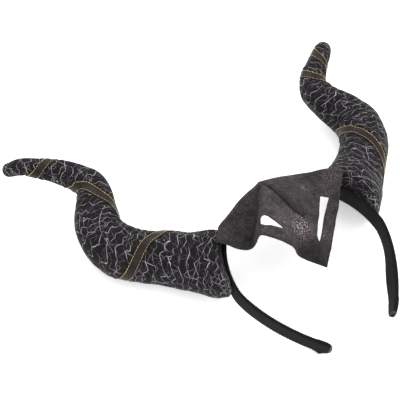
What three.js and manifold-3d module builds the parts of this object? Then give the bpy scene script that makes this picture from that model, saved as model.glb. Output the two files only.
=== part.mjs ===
// Horned costume headband lying on its back: a ribbon-wrapped band, two stuffed cloth horns with a
// strip wound round each, and a slotted cloth flap hung from the band between them.
// Millimetres, +Z up. Left and right are as seen from the front.
import * as THREE from 'three';
import { mergeVertices } from 'three/addons/utils/BufferGeometryUtils.js';
import Module from 'manifold-3d';

const wasm = await Module();
wasm.setup();

// Driving dimensions. The pieces are drawn as worn: X to the right, Y to the back, Z up, with the
// origin in the middle of the band's opening at its widest level.
const GAP = 0.4;
const LEAN_DEG = 12.9;

const BAND = {
  halfWidth: 66,
  topHeight: 67,
  armHeight: 86,
  armExponent: 1.45,
  endAngleDeg: 147.8,
  width: 16,
  thickness: 3,
  endRound: 8,
  endShare: 0.4,
  steps: 70,
  widthSteps: 4,
};

// Each horn's centreline and radius from the base to the tip, both drawn on the right. The right
// horn is stuffed fuller at the base and its tip is bent further back.
const LEFT_SECTIONS = [
  { x: 62, y: 4.6, z: 30, radius: 25.4 },
  { x: 93, y: 16, z: 57.5, radius: 21 },
  { x: 116.5, y: 21.5, z: 79.5, radius: 20.8 },
  { x: 124, y: 25.5, z: 106, radius: 19 },
  { x: 112.5, y: 25.5, z: 150, radius: 13 },
  { x: 146.5, y: 25, z: 185.5, radius: 8 },
  { x: 161.5, y: 38, z: 199.5, radius: 6 },
];
const RIGHT_SECTIONS = [
  { x: 59.5, y: 9.5, z: 33, radius: 28.6 },
  { x: 93, y: 16, z: 57.5, radius: 21 },
  { x: 116.5, y: 21.5, z: 79.5, radius: 20.8 },
  { x: 124, y: 25.5, z: 106, radius: 19 },
  { x: 112.5, y: 25.5, z: 150, radius: 13 },
  { x: 146.5, y: 26, z: 184.5, radius: 8 },
  { x: 161.5, y: 48, z: 195.5, radius: 6 },
];
const HORN = {
  sides: 24,
  rings: 45,
  baseReach: 16,
  baseRings: 2,
  baseFlare: 0.6,
  tipReach: 5,
  tipRings: 5,
  tipShare: 0.2,
};

// Both strips wind the same way. A row says how many turns a strip has made at a place along its
// horn, from 0 at the base to 1 at the tip; whole turns face the front and half turns the back.
const STRIP = { width: 8, thickness: 1, lift: 0.6, steps: 92, widthSteps: 2 };
const LEFT_WINDING = [
  { along: 0.12, turns: 0.66 },
  { along: 0.19, turns: 0.9 },
  { along: 0.23, turns: 1 },
  { along: 0.29, turns: 1.25 },
  { along: 0.39, turns: 1.47 },
  { along: 0.5, turns: 1.69 },
  { along: 0.57, turns: 1.875 },
  { along: 0.604, turns: 2 },
  { along: 0.7, turns: 2.25 },
  { along: 0.755, turns: 2.6 },
  { along: 0.79, turns: 3 },
  { along: 0.815, turns: 3.25 },
  { along: 0.88, turns: 3.6 },
];
const RIGHT_WINDING = [
  { along: 0.1, turns: 0.66 },
  { along: 0.2, turns: 0.9 },
  { along: 0.25, turns: 1 },
  { along: 0.315, turns: 1.125 },
  { along: 0.44, turns: 1.27 },
  { along: 0.472, turns: 1.36 },
  { along: 0.482, turns: 1.54 },
  { along: 0.545, turns: 1.7 },
  { along: 0.66, turns: 1.85 },
  { along: 0.687, turns: 2 },
  { along: 0.71, turns: 2.2 },
  { along: 0.74, turns: 2.6 },
  { along: 0.767, turns: 3 },
  { along: 0.79, turns: 3.16 },
  { along: 0.87, turns: 3.6 },
];

// Sections of the flap from left to right: where its top lies across the band, how far the top is
// raised and brought forward where it passes over a horn, its lower end, how far the middle of the
// section stands forward, and how far the hem reaches back over the band. The tip row is where the
// lower edge turns a sharp corner.
const FLAP = { thickness: 1.2, columns: 52, rows: 15, hemRows: 3, tipRow: 9 };
const FLAP_SECTIONS = [
  { topX: -53, raise: 8, forward: 2, lowX: -65, lowY: -21.5, lowZ: 38, bulge: 1, hem: 0.8 },
  { topX: -42, raise: 0, forward: 0, lowX: -58.5, lowY: -20, lowZ: 32, bulge: 1, hem: 3 },
  { topX: -33, raise: 0, forward: 0, lowX: -49.5, lowY: -14.5, lowZ: 26, bulge: 0, hem: 12 },
  { topX: -23, raise: 0, forward: 0, lowX: -43.5, lowY: -16.5, lowZ: 22, bulge: 0, hem: 15 },
  { topX: -14, raise: 0, forward: 0, lowX: -41, lowY: -23, lowZ: 20.7, bulge: 0, hem: 15 },
  { topX: -7, raise: 0, forward: 0, lowX: -39.5, lowY: -37, lowZ: 20.3, bulge: 4, hem: 15 },
  { topX: -3, raise: 0, forward: 0, lowX: -30, lowY: -36.5, lowZ: 12, bulge: 5, hem: 15 },
  { topX: 0, raise: 0, forward: 0, lowX: -22, lowY: -32.5, lowZ: 4.7, bulge: 8, hem: 15 },
  { topX: 3, raise: 0, forward: 0, lowX: -14, lowY: -18, lowZ: -2.4, bulge: 14, hem: 15 },
  { topX: 10, raise: 0, forward: 0, lowX: 0.3, lowY: -13, lowZ: -16.2, bulge: 13, hem: 15 },
  { topX: 22, raise: 0, forward: 0, lowX: 15, lowY: -11, lowZ: -2.2, bulge: 6, hem: 15 },
  { topX: 33, raise: 1.8, forward: 0, lowX: 31, lowY: -11, lowZ: 14.6, bulge: 3, hem: 12 },
  { topX: 42, raise: 4.6, forward: 1.5, lowX: 42, lowY: -13, lowZ: 26.2, bulge: 1, hem: 3 },
  { topX: 60, raise: 14, forward: 7.5, lowX: 50, lowY: -18, lowZ: 36.5, bulge: 1, hem: 0.8 },
];
// The two slots as seen from the front, from a blunt outer end to a pointed inner one
const SLOTS = [
  { outerTop: [-25, 35.2], outerLow: [-33, 27.5], inner: [-16.5, 19] },
  { outerTop: [31, 37.1], outerLow: [36.4, 33], inner: [3.5, 1.2] },
];
const SLOT_DEPTH = 90;

const finish = (color, roughness) => new THREE.MeshStandardMaterial({ color, roughness, metalness: 0 });
const RIBBED_RIBBON = finish(0x2a282a, 0.8);
const PRINTED_CLOTH = finish(0x1c1a1e, 0.85);
const STRIP_LEATHER = finish(0x3a3634, 0.5);
const SUEDE = finish(0x464142, 0.95);

// A smooth curve through the rows of a table, read column by column; at runs from 0 to 1
function through(rows, columns, at) {
  const last = rows.length - 1;
  const place = THREE.MathUtils.clamp(at, 0, 1) * last;
  const row = Math.min(Math.floor(place), last - 1);
  const t = place - row;
  return columns.map((name) => {
    const from = rows[row][name];
    const to = rows[row + 1][name];
    const before = row > 0 ? rows[row - 1][name] : 2 * from - to;
    const after = row + 2 <= last ? rows[row + 2][name] : 2 * to - from;
    const slopeFrom = (to - before) / 2;
    const slopeTo = (after - from) / 2;
    const square = 3 * (to - from) - 2 * slopeFrom - slopeTo;
    const cube = slopeFrom + slopeTo - 2 * (to - from);
    return from + t * (slopeFrom + t * (square + t * cube));
  });
}

// The geometry with its corners merged and each one moved by a function
function remap(geometry, place) {
  geometry.deleteAttribute('normal');
  geometry.deleteAttribute('uv');
  const merged = mergeVertices(geometry);
  const corners = merged.getAttribute('position');
  for (let i = 0; i < corners.count; i += 1) {
    const moved = place(new THREE.Vector3().fromBufferAttribute(corners, i));
    corners.setXYZ(i, moved.x, moved.y, moved.z);
  }
  merged.computeVertexNormals();
  return merged;
}

function mirrored(geometry) {
  const copy = geometry.clone().scale(-1, 1, 1);
  const index = copy.getIndex();
  for (let i = 0; i < index.count; i += 3) {
    const second = index.getX(i + 1);
    index.setX(i + 1, index.getX(i + 2));
    index.setX(i + 2, second);
  }
  copy.computeVertexNormals();
  return copy;
}

function toSolid(geometry) {
  geometry.deleteAttribute('normal');
  geometry.deleteAttribute('uv');
  const merged = mergeVertices(geometry);
  return new wasm.Manifold(new wasm.Mesh({
    numProp: 3,
    vertProperties: new Float32Array(merged.getAttribute('position').array),
    triVerts: new Uint32Array(merged.getIndex().array),
  }));
}

function toGeometry(solid) {
  const mesh = solid.getMesh();
  const geometry = new THREE.BufferGeometry();
  geometry.setAttribute('position', new THREE.BufferAttribute(mesh.vertProperties, 3));
  geometry.setIndex(new THREE.BufferAttribute(mesh.triVerts, 1));
  geometry.computeVertexNormals();
  return geometry;
}

// An outline seen from the front, made into a block that reaches from front to back
function frontBlock(outline, depth, steps = 1) {
  const block = new THREE.ExtrudeGeometry(outline, { depth, steps, bevelEnabled: false });
  return block.rotateX(Math.PI / 2).translate(0, depth / 2, 0);
}

// Band: a round top and two arms that close in towards the neck; the angle is 0 at the top
const endAngle = THREE.MathUtils.degToRad(BAND.endAngleDeg);

function bandCurve(angle) {
  const sine = Math.sin(angle);
  const cosine = Math.cos(angle);
  const power = cosine < 0 ? 2 / BAND.armExponent : 1;
  const height = cosine < 0 ? -BAND.armHeight : BAND.topHeight;
  const x = BAND.halfWidth * Math.sign(sine) * Math.abs(sine) ** power;
  return new THREE.Vector2(x, height * Math.abs(cosine) ** power);
}

function bandSide(angle, outward) {
  const step = 1e-3;
  const along = bandCurve(angle + step).sub(bandCurve(angle - step)).normalize();
  return bandCurve(angle).addScaledVector(new THREE.Vector2(-along.y, along.x), outward);
}

function bandGeometry() {
  const end = bandCurve(endAngle);
  return remap(new THREE.BoxGeometry(1, 1, 1, BAND.steps, BAND.widthSteps, 1), (corner) => {
    // a sine puts short steps at the rounded ends
    const angle = endAngle * Math.sin(Math.PI * corner.x);
    const middle = bandCurve(angle);
    const toEnd = Math.hypot(Math.abs(middle.x) - end.x, middle.y - end.y);
    const rounding = Math.max(0, 1 - toEnd / BAND.endRound);
    const share = Math.max(BAND.endShare, Math.sqrt(1 - rounding * rounding));
    const place = bandSide(angle, BAND.thickness * corner.z);
    return new THREE.Vector3(place.x, BAND.width * share * corner.y, place.y);
  });
}

// The floor under the headband as it lies on its back, on the ends of the band and on the strips
// behind the horns
const lean = THREE.MathUtils.degToRad(LEAN_DEG);
const floorUp = new THREE.Vector3(0, -Math.cos(lean), Math.sin(lean));
const band = bandGeometry();
const floorHeight = lowestHeight(band);

function lowestHeight(geometry) {
  const corners = geometry.getAttribute('position');
  let lowest = Infinity;
  for (let i = 0; i < corners.count; i += 1) {
    lowest = Math.min(lowest, floorUp.dot(new THREE.Vector3().fromBufferAttribute(corners, i)));
  }
  return lowest;
}

// What would sink into the floor, or into what lies under it there, is pressed flat
function pressedFlat(point, under) {
  return point.addScaledVector(floorUp, Math.max(0, floorHeight + under - floorUp.dot(point)));
}

// Horn: a round section carried along the centreline. Turn 0 is the front, and a quarter turn is
// the side towards the other horn.
function hornFrame(sections, share) {
  const step = 1e-3;
  const at = THREE.MathUtils.clamp(share, 0, 1);
  const place = (where) => new THREE.Vector3(...through(sections, ['x', 'y', 'z'], where));
  const along = place(at + step).sub(place(at - step)).normalize();
  const front = new THREE.Vector3(0, -1, 0).projectOnPlane(along).normalize();
  const inner = new THREE.Vector3().crossVectors(front, along);
  return { centre: place(at), along, front, inner, radius: through(sections, ['radius'], at)[0] };
}

function hornPoint(frame, turn, reach) {
  const angle = 2 * Math.PI * turn;
  return frame.centre.clone()
    .addScaledVector(frame.front, reach * Math.cos(angle))
    .addScaledVector(frame.inner, reach * Math.sin(angle));
}

// The rings start inside the band, follow the horn and close round its blunt tip
function hornGeometry(sections) {
  const bodyRings = HORN.rings - HORN.baseRings - HORN.tipRings;
  const roundest = Math.acos(HORN.tipShare);
  return remap(new THREE.CylinderGeometry(1, 1, 1, HORN.sides, HORN.rings), (corner) => {
    const ring = (corner.y + 0.5) * HORN.rings - HORN.baseRings;
    const frame = hornFrame(sections, ring / bodyRings);
    const before = Math.max(0, -ring / HORN.baseRings);
    const tipAngle = roundest * Math.max(0, (ring - bodyRings) / HORN.tipRings);
    frame.centre.addScaledVector(frame.along, HORN.tipReach * Math.sin(tipAngle) - HORN.baseReach * before);
    const reach = frame.radius * Math.cos(tipAngle) * Math.hypot(corner.x, corner.z);
    const turn = Math.atan2(corner.z, corner.x) / (2 * Math.PI);
    return pressedFlat(hornPoint(frame, turn, reach), STRIP.lift + STRIP.thickness);
  });
}

// The base is cut to the band's outer face, all but the gap, and draws away from it in front of the
// band and behind it
function cutHorn(sections) {
  const outline = new THREE.Shape();
  for (let i = 0; i <= BAND.steps; i += 1) {
    const side = bandSide(endAngle * (2 * i / BAND.steps - 1), BAND.thickness / 2 + GAP);
    outline[i === 0 ? 'moveTo' : 'lineTo'](side.x, side.y);
  }
  const layers = 5;
  const block = frontBlock(outline, layers * BAND.width, layers);
  const inside = remap(block, (corner) => {
    const beyond = Math.max(0, Math.abs(corner.y) - BAND.width / 2);
    const grown = 1 + HORN.baseFlare * beyond / BAND.halfWidth;
    return new THREE.Vector3(corner.x * grown, corner.y, corner.z * grown);
  });
  return toGeometry(toSolid(hornGeometry(sections)).subtract(toSolid(inside)));
}

// Strip: a flat ribbon on the horn's face that keeps its width square to its run, whichever side of a
// bend it is on
function stripGeometry(sections, winding, direction) {
  const columns = ['along', 'turns'];
  return remap(new THREE.BoxGeometry(1, 1, 1, STRIP.steps, STRIP.widthSteps, 1), (corner) => {
    const step = 1e-3;
    const share = corner.x + 0.5;
    const [along, turns] = through(winding, columns, share);
    const [alongFrom, turnsFrom] = through(winding, columns, share - step);
    const [alongTo, turnsTo] = through(winding, columns, share + step);
    const { radius } = hornFrame(sections, along);
    const onFace = (where) => hornPoint(hornFrame(sections, where), direction * turns, radius);
    const lengthwise = onFace(along + step).distanceTo(onFace(along - step)) / (2 * step);
    const round = 2 * Math.PI * radius;
    const run = new THREE.Vector2((alongTo - alongFrom) * lengthwise, (turnsTo - turnsFrom) * round);
    run.normalize();
    const across = STRIP.width * corner.y * direction;
    const place = hornFrame(sections, along - run.y * across / lengthwise);
    const turn = turns + run.x * across / round;
    const reach = place.radius + STRIP.lift + STRIP.thickness * (corner.z + 0.5);
    return pressedFlat(hornPoint(place, direction * turn, reach), STRIP.thickness * (0.5 - corner.z));
  });
}

// Flap: from a hem glued over the band, each section falls to the lower edge
const flapOut = BAND.thickness / 2 + GAP + FLAP.thickness / 2;
const flapFront = -BAND.width / 2 - GAP - FLAP.thickness / 2;

function flapLowEdge(across) {
  const span = FLAP_SECTIONS.length - 1;
  const row = across * span;
  const columns = ['lowX', 'lowY', 'lowZ'];
  return new THREE.Vector3(...(row < FLAP.tipRow
    ? through(FLAP_SECTIONS.slice(0, FLAP.tipRow + 1), columns, row / FLAP.tipRow)
    : through(FLAP_SECTIONS.slice(FLAP.tipRow), columns, (row - FLAP.tipRow) / (span - FLAP.tipRow))));
}

function flapPoint(across, down) {
  const columns = ['topX', 'raise', 'forward', 'bulge', 'hem'];
  const [topX, raise, forward, bulge, hem] = through(FLAP_SECTIONS, columns, across);
  const height = Math.sqrt(1 - (topX / (BAND.halfWidth + flapOut)) ** 2) * (BAND.topHeight + flapOut);
  const top = new THREE.Vector3(topX, flapFront - Math.max(0, forward), height + Math.max(0, raise));
  const hemShare = FLAP.hemRows / FLAP.rows;
  const fall = (down - hemShare) / (1 - hemShare);
  if (fall < 0) {
    return top.setY(top.y + hem * (1 - down / hemShare));
  }
  return top.lerp(flapLowEdge(across), fall)
    .add(new THREE.Vector3(0, -4 * bulge * fall * (1 - fall), 0));
}

function flapGeometry() {
  const sheet = remap(new THREE.BoxGeometry(1, 1, 1, FLAP.columns, FLAP.rows, 1), (corner) => {
    const step = 1e-2;
    const across = corner.x + 0.5;
    const down = 0.5 - corner.y;
    const toRight = flapPoint(across + step, down).sub(flapPoint(across - step, down));
    const upwards = flapPoint(across, down - step).sub(flapPoint(across, down + step));
    const front = toRight.cross(upwards).normalize();
    return flapPoint(across, down).addScaledVector(front, FLAP.thickness * corner.z);
  });
  return SLOTS.reduce((cloth, slot) => {
    const outline = new THREE.Shape();
    outline.moveTo(...slot.outerTop).lineTo(...slot.inner).lineTo(...slot.outerLow);
    return cloth.subtract(toSolid(frontBlock(outline, SLOT_DEPTH)));
  }, toSolid(sheet));
}

function piece(name, geometry, material) {
  const mesh = new THREE.Mesh(geometry, material);
  mesh.name = name;
  return mesh;
}

const headband = new THREE.Group();
headband.add(piece('band', band, RIBBED_RIBBON));
headband.add(piece('left_horn', mirrored(cutHorn(LEFT_SECTIONS)), PRINTED_CLOTH));
headband.add(piece('right_horn', cutHorn(RIGHT_SECTIONS), PRINTED_CLOTH));
const leftStrip = stripGeometry(LEFT_SECTIONS, LEFT_WINDING, -1);
headband.add(piece('left_strip', mirrored(leftStrip), STRIP_LEATHER));
headband.add(piece('right_strip', stripGeometry(RIGHT_SECTIONS, RIGHT_WINDING, 1), STRIP_LEATHER));
headband.add(piece('flap', toGeometry(flapGeometry()), SUEDE));

// Laid on its back, with the origin under the middle of its box
headband.rotation.x = lean - Math.PI / 2;
const box = new THREE.Box3().setFromObject(headband, true);
const middle = box.getCenter(new THREE.Vector3());
headband.position.set(-middle.x, -middle.y, -box.min.z);

const part = new THREE.Group();
part.add(headband);
export default part;
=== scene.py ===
# Horned costume headband lying on its back: a ribbon-wrapped band, two stuffed cloth horns with a
# stitched strip wound round each, and a slotted suede flap hung from the band between them.
import math

import bmesh
import bpy
import numpy as np
from mathutils import Matrix, Vector
from mathutils.bvhtree import BVHTree


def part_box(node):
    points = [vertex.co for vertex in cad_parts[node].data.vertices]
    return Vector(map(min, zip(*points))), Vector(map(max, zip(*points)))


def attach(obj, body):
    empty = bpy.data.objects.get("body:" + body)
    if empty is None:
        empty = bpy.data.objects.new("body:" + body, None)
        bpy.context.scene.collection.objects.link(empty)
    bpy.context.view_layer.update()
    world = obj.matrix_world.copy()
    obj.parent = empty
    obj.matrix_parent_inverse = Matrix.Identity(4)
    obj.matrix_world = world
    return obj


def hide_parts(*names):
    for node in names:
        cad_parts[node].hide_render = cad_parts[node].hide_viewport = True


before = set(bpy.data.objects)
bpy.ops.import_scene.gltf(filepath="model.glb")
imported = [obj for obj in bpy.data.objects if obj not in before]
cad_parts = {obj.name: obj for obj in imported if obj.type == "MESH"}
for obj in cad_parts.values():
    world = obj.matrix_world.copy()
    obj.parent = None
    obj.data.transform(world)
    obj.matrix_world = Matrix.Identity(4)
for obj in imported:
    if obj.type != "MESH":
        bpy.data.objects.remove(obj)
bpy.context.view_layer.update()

# Band
# A springy plastic hoop that grips the head behind the ears, wrapped in black ribbed ribbon and glued.
# The ribbon's cut ends are folded over the rounded tips.

# Sizes are in millimetres as worn, X to the right, Y to the back and Z up from the middle of the
# opening; laid() turns points drawn that way into metres on the floor.
BAND_HALF_WIDTH = 66
BAND_TOP_HEIGHT = 67
BAND_ARM_HEIGHT = 86
BAND_ARM_EXPONENT = 1.45
BAND_END_ANGLE = math.radians(147.8)
BAND_WIDTH = 16
BAND_THICKNESS = 3
BAND_END_ROUND = 8
LEAN = math.radians(12.9)

band_top = (BAND_TOP_HEIGHT + BAND_THICKNESS / 2, BAND_WIDTH / 2)
band_low, band_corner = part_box("band")
lay_x = (band_low.x + band_corner.x) / 2
lay_y = band_corner.y - (band_top[0] * math.cos(LEAN) + band_top[1] * math.sin(LEAN)) / 1000
lay_z = band_corner.z - (band_top[0] * math.sin(LEAN) + band_top[1] * math.cos(LEAN)) / 1000


def turned(worn):
    """Directions as worn, turned to how the headband lies."""
    x, y, z = np.moveaxis(np.asarray(worn, float), -1, 0)
    across = z * math.cos(LEAN) + y * math.sin(LEAN)
    up = z * math.sin(LEAN) - y * math.cos(LEAN)
    return np.stack([x, across, up], -1)


def laid(worn):
    """Points as worn, in millimetres, where they lie, in metres."""
    return turned(worn) / 1000 + np.array([lay_x, lay_y, lay_z])


def band_line(angle):
    """The middle of the band seen from the front: 0 is the top, and the arms close in below."""
    sine, cosine = np.sin(angle), np.cos(angle)
    power = np.where(cosine < 0, 2 / BAND_ARM_EXPONENT, 1)
    height = np.where(cosine < 0, -BAND_ARM_HEIGHT, BAND_TOP_HEIGHT)
    x = BAND_HALF_WIDTH * np.sign(sine) * np.abs(sine) ** power
    return np.stack([x, height * np.abs(cosine) ** power], -1)


def piece(name, points, faces):
    """A smooth-shaded mesh object in the scene."""
    mesh = bpy.data.meshes.new(name)
    mesh.from_pydata([tuple(p) for p in points], [], [tuple(f) for f in faces])
    mesh.polygons.foreach_set("use_smooth", [True] * len(mesh.polygons))
    made = bpy.data.objects.new(name, mesh)
    bpy.context.scene.collection.objects.link(made)
    return made


def face_out(made):
    """Turns a closed mesh's faces outwards."""
    skin = bmesh.new()
    skin.from_mesh(made.data)
    bmesh.ops.recalc_face_normals(skin, faces=skin.faces)
    skin.to_mesh(made.data)
    skin.free()


def tube(name, rings, uv):
    """A closed skin over rings of points, with a fan over each end; uv has one column more."""
    count, sides = rings.shape[:2]
    points = np.concatenate([rings.reshape(-1, 3), rings[[0, -1]].mean(1)])
    i, j = np.meshgrid(np.arange(count - 1), np.arange(sides), indexing="ij")
    k = (j + 1) % sides
    quads = np.stack([i * sides + j, i * sides + k, (i + 1) * sides + k, (i + 1) * sides + j], -1)
    corners = np.stack([uv[:-1, :-1], uv[:-1, 1:], uv[1:, 1:], uv[1:, :-1]], 2)
    faces = quads.reshape(-1, 4).tolist()
    corner_uv = [corners.reshape(-1, 2)]
    for ring, middle in ((0, count * sides), (count - 1, count * sides + 1)):
        for side in range(sides):
            edge = [ring * sides + side, ring * sides + (side + 1) % sides]
            faces.append((edge if ring else edge[::-1]) + [middle])
            edge_uv = [uv[ring, side], uv[ring, side + 1]]
            edge_uv = edge_uv if ring else edge_uv[::-1]
            corner_uv.append(np.array(edge_uv + [(edge_uv[0] + edge_uv[1]) / 2]))
    made = piece(name, points, faces)
    layer = made.data.uv_layers.new(name="cloth")
    layer.data.foreach_set("uv", np.concatenate(corner_uv).ravel())
    face_out(made)
    return made


def mark(made, name, values):
    """Keeps a value for each point of a mesh, for its finish to read."""
    made.data.attributes.new(name, "FLOAT", "POINT").data.foreach_set("value", np.ravel(values))


def shade(red, green, blue):
    """A colour from its screen values, 0 to 255."""
    screen = np.array([red, green, blue]) / 255
    light = np.where(screen < 0.04045, screen / 12.92, ((screen + 0.055) / 1.055) ** 2.4)
    return (*light.tolist(), 1)


def new_finish(name):
    """An empty procedural finish: the material, its node tree and its surface shader."""
    finish = bpy.data.materials.new(name)
    finish.use_nodes = True
    return finish, finish.node_tree, finish.node_tree.nodes["Principled BSDF"]


def put(tree, kind, inputs=None, **settings):
    """A shader node, whose inputs are plain values or the outputs of other nodes."""
    made = tree.nodes.new(kind)
    for key, value in settings.items():
        setattr(made, key, value)
    for key, value in (inputs or {}).items():
        if isinstance(value, bpy.types.NodeSocket):
            tree.links.new(value, made.inputs[key])
        else:
            made.inputs[key].default_value = value
    return made


def sums(tree, operation, first, second=0.5, third=0.5):
    """The result of one step of arithmetic on values of the surface."""
    return put(tree, "ShaderNodeMath", {0: first, 1: second, 2: third}, operation=operation).outputs[0]


def mixed(tree, share, first, second):
    """A blend of two colours by a share that varies over the surface."""
    node = put(tree, "ShaderNodeMix", {0: share, 6: first, 7: second}, data_type="RGBA")
    return node.outputs[2]


def between(tree, value, low, high, bottom=0.0, top=1.0):
    """A value's place between low and high, smoothed and cut off at both ends."""
    inputs = {"Value": value, "From Min": low, "From Max": high, "To Min": bottom, "To Max": top}
    return put(tree, "ShaderNodeMapRange", inputs, interpolation_type="SMOOTHSTEP").outputs[0]


def grain(tree, where, size, detail=3.0, rough=0.55):
    """Cloudy noise with grains of a size in metres."""
    inputs = {"Vector": where, "Scale": 1 / size, "Detail": detail, "Roughness": rough}
    return put(tree, "ShaderNodeTexNoise", inputs).outputs[0]


def raised(tree, skin, height, depth):
    """Relief of a depth in metres on the surface shader."""
    bump = put(tree, "ShaderNodeBump", {"Height": height, "Distance": depth, "Strength": 1.0})
    tree.links.new(bump.outputs[0], skin.inputs["Normal"])


RIB_PITCH = 1.5
RIB_RINGS = 6
RIB_DEPTH = 0.38
FOLD_LENGTH = 13
FOLD_THICKNESS = 0.45
FOLD_STEP = 0.25
TIP_WIDTH = 0.42
BLUNT_LENGTH = 1.5
BLUNT_RINGS = 8
BLUNT_WIDTH = 0.35
BLUNT_THICKNESS = 0.3
EDGE_POINTS = 36
EDGE_SQUARENESS = 5
CORNER_FOLD = 1.7
CORNER_PLACE = 8
CORNER_SPREAD = 2
ARM_TWIST = 3.1
TWIST_PLACE = 33
TWIST_SPREAD = 20
CUT_END_HIGHLIGHT = (0.8, 0.3)
CUT_END_PLACE = 1.3
CUT_END_SPREAD = 0.7
RESTING_HEIGHT = 0.00002

fine_angle = np.linspace(-BAND_END_ANGLE, BAND_END_ANGLE, 6001)
fine_step = np.linalg.norm(np.diff(band_line(fine_angle), axis=0), axis=1)
fine_length = np.concatenate([[0], np.cumsum(fine_step)])
band_length = fine_length[-1]
rib_count = round(band_length / RIB_PITCH)
band_place = np.linspace(0, band_length, rib_count * RIB_RINGS + 1)
tip_places = BLUNT_LENGTH * (1 - np.cos(np.linspace(0, math.pi / 2, BLUNT_RINGS)))
band_place = np.unique(np.concatenate([band_place, tip_places, band_length - tip_places]))
band_angle = np.interp(band_place, fine_length, fine_angle)
band_middle = band_line(band_angle)
ahead = band_line(band_angle + 1e-4) - band_line(band_angle - 1e-4)
ahead /= np.linalg.norm(ahead, axis=1)[:, None]
band_out = np.stack([-ahead[:, 1], ahead[:, 0]], -1)

to_end = np.minimum(band_place, band_length - band_place)
tip_round = np.clip(1 - to_end / BAND_END_ROUND, 0, 1)
tip_blunt = np.clip(1 - to_end / BLUNT_LENGTH, 0, 1)
full = np.sqrt(1 - tip_blunt ** 2)
wide = np.maximum(TIP_WIDTH, np.sqrt(1 - tip_round ** 2)) * (BLUNT_WIDTH + (1 - BLUNT_WIDTH) * full)
thick = BLUNT_THICKNESS + (1 - BLUNT_THICKNESS) * full
fold = FOLD_THICKNESS / (1 + np.exp((to_end - FOLD_LENGTH) / FOLD_STEP))
rib = RIB_DEPTH * np.abs(np.sin(math.pi * band_place / RIB_PITCH)) ** 0.7 - RIB_DEPTH

edge = np.linspace(0, 2 * math.pi, EDGE_POINTS + 1)
edge_y = np.sign(np.cos(edge)) * np.abs(np.cos(edge)) ** (2 / EDGE_SQUARENESS)
edge_out = np.sign(np.sin(edge)) * np.abs(np.sin(edge)) ** (2 / EDGE_SQUARENESS)
half_wide = (BAND_WIDTH / 2 * wide + rib)[:, None]
half_thick = (BAND_THICKNESS / 2 * thick + rib + fold)[:, None]
# a corner of the folded ribbon stands out near the left tip
corner_fold = CORNER_FOLD * np.exp(-((band_place - CORNER_PLACE) / CORNER_SPREAD) ** 2)
corner_fold = corner_fold[:, None] * np.clip(edge_y, 0, 1) ** 2
y = half_wide * edge_y
out = (half_thick + corner_fold * (edge_out > 0)) * edge_out
# the right arm is twisted a little, its back edge inwards
right_twist = ARM_TWIST * np.exp(-((band_length - band_place - TWIST_PLACE) / TWIST_SPREAD) ** 2)
out = out - (right_twist / BAND_WIDTH)[:, None] * (y + half_wide)
band_rings = np.stack([band_middle[:, :1] + band_out[:, :1] * out, y,
                       band_middle[:, 1:] + band_out[:, 1:] * out], -1)
round_band = np.concatenate([[0], np.cumsum(np.hypot(np.diff(edge_y) * BAND_WIDTH / 2,
                                                     np.diff(edge_out) * BAND_THICKNESS / 2))])
band_uv = np.stack(np.broadcast_arrays(band_place[:, None] / 1000, round_band / 1000), -1)


def ribbed_ribbon():
    """Black ribbon with ribs across it: painted shade in the grooves, a painted sheen on the crowns."""
    finish, tree, skin = new_finish("ribbed_ribbon")
    uv = put(tree, "ShaderNodeUVMap").outputs["UV"]
    along = put(tree, "ShaderNodeSeparateXYZ", {0: uv}).outputs[0]
    turn = sums(tree, "MULTIPLY", along, math.pi / (RIB_PITCH / 1000))
    crown = sums(tree, "ABSOLUTE", sums(tree, "SINE", turn))
    stretch = put(tree, "ShaderNodeMapping", {"Vector": uv, "Scale": (1, 0.16, 1)}).outputs[0]
    thread = grain(tree, stretch, 0.00035)
    wear = grain(tree, uv, 0.012)
    # painted light: the rib crowns are made lighter and the grooves darker
    lit = sums(tree, "MULTIPLY", between(tree, crown, 0.2, 1), between(tree, thread, 0.3, 0.75, 0.55))
    ground = mixed(tree, lit, shade(3, 3, 3), shade(27, 25, 28))
    colour = mixed(tree, between(tree, wear, 0.45, 0.8, 0, 0.3), ground, shade(30, 28, 32))
    # the painted highlight on the folds at the ribbon's cut ends
    folded = put(tree, "ShaderNodeAttribute", attribute_name="folded").outputs["Fac"]
    colour = mixed(tree, folded, colour, shade(118, 114, 116))
    tree.links.new(colour, skin.inputs["Base Color"])
    tree.links.new(between(tree, thread, 0.2, 0.8, 0.82, 0.6), skin.inputs["Roughness"])
    skin.inputs["Sheen Weight"].default_value = 0.02
    skin.inputs["Sheen Roughness"].default_value = 0.45
    skin.inputs["Specular IOR Level"].default_value = 0.09
    raised(tree, skin, thread, 0.00012)
    return finish


band_points = laid(band_rings[:, :-1])
band_points[..., 2] = np.maximum(band_points[..., 2], RESTING_HEIGHT)
band = tube("wrapped_band", band_points, band_uv)
# a painted highlight on the fold at each of the ribbon's cut ends, the left one brightest
cut_end = np.where(band_place < band_length / 2, *CUT_END_HIGHLIGHT)
fold_highlight = cut_end * np.exp(-((to_end - CUT_END_PLACE) / CUT_END_SPREAD) ** 2)
mark(band, "folded", np.append(np.repeat(fold_highlight, EDGE_POINTS), [0, 0]))
band.data.materials.append(ribbed_ribbon())
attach(band, "root")
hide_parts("band")

# Horns
# Two sewn cloth tubes, printed with a pale crackle on near-black, turned and stuffed hard, with the
# seam behind. Their bases are gathered and glued to the band, and their backs are flat on the floor.

# The columns are the centreline's x, y and z and the radius, from the base to the tip, with both horns
# drawn on the right.
HORN_SECTIONS = {
    "left": [
        (62, 4.6, 30, 25.4),
        (93, 16, 57.5, 21),
        (116.5, 21.5, 79.5, 20.8),
        (124, 25.5, 106, 19),
        (112.5, 25.5, 150, 13),
        (146.5, 25, 185.5, 8),
        (161.5, 38, 199.5, 6),
    ],
    "right": [
        (59.5, 9.5, 33, 28.6),
        (93, 16, 57.5, 21),
        (116.5, 21.5, 79.5, 20.8),
        (124, 25.5, 106, 19),
        (112.5, 25.5, 150, 13),
        (145.8, 26, 184, 8),
        (160.2, 48.8, 193.2, 6),
    ],
}
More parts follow.
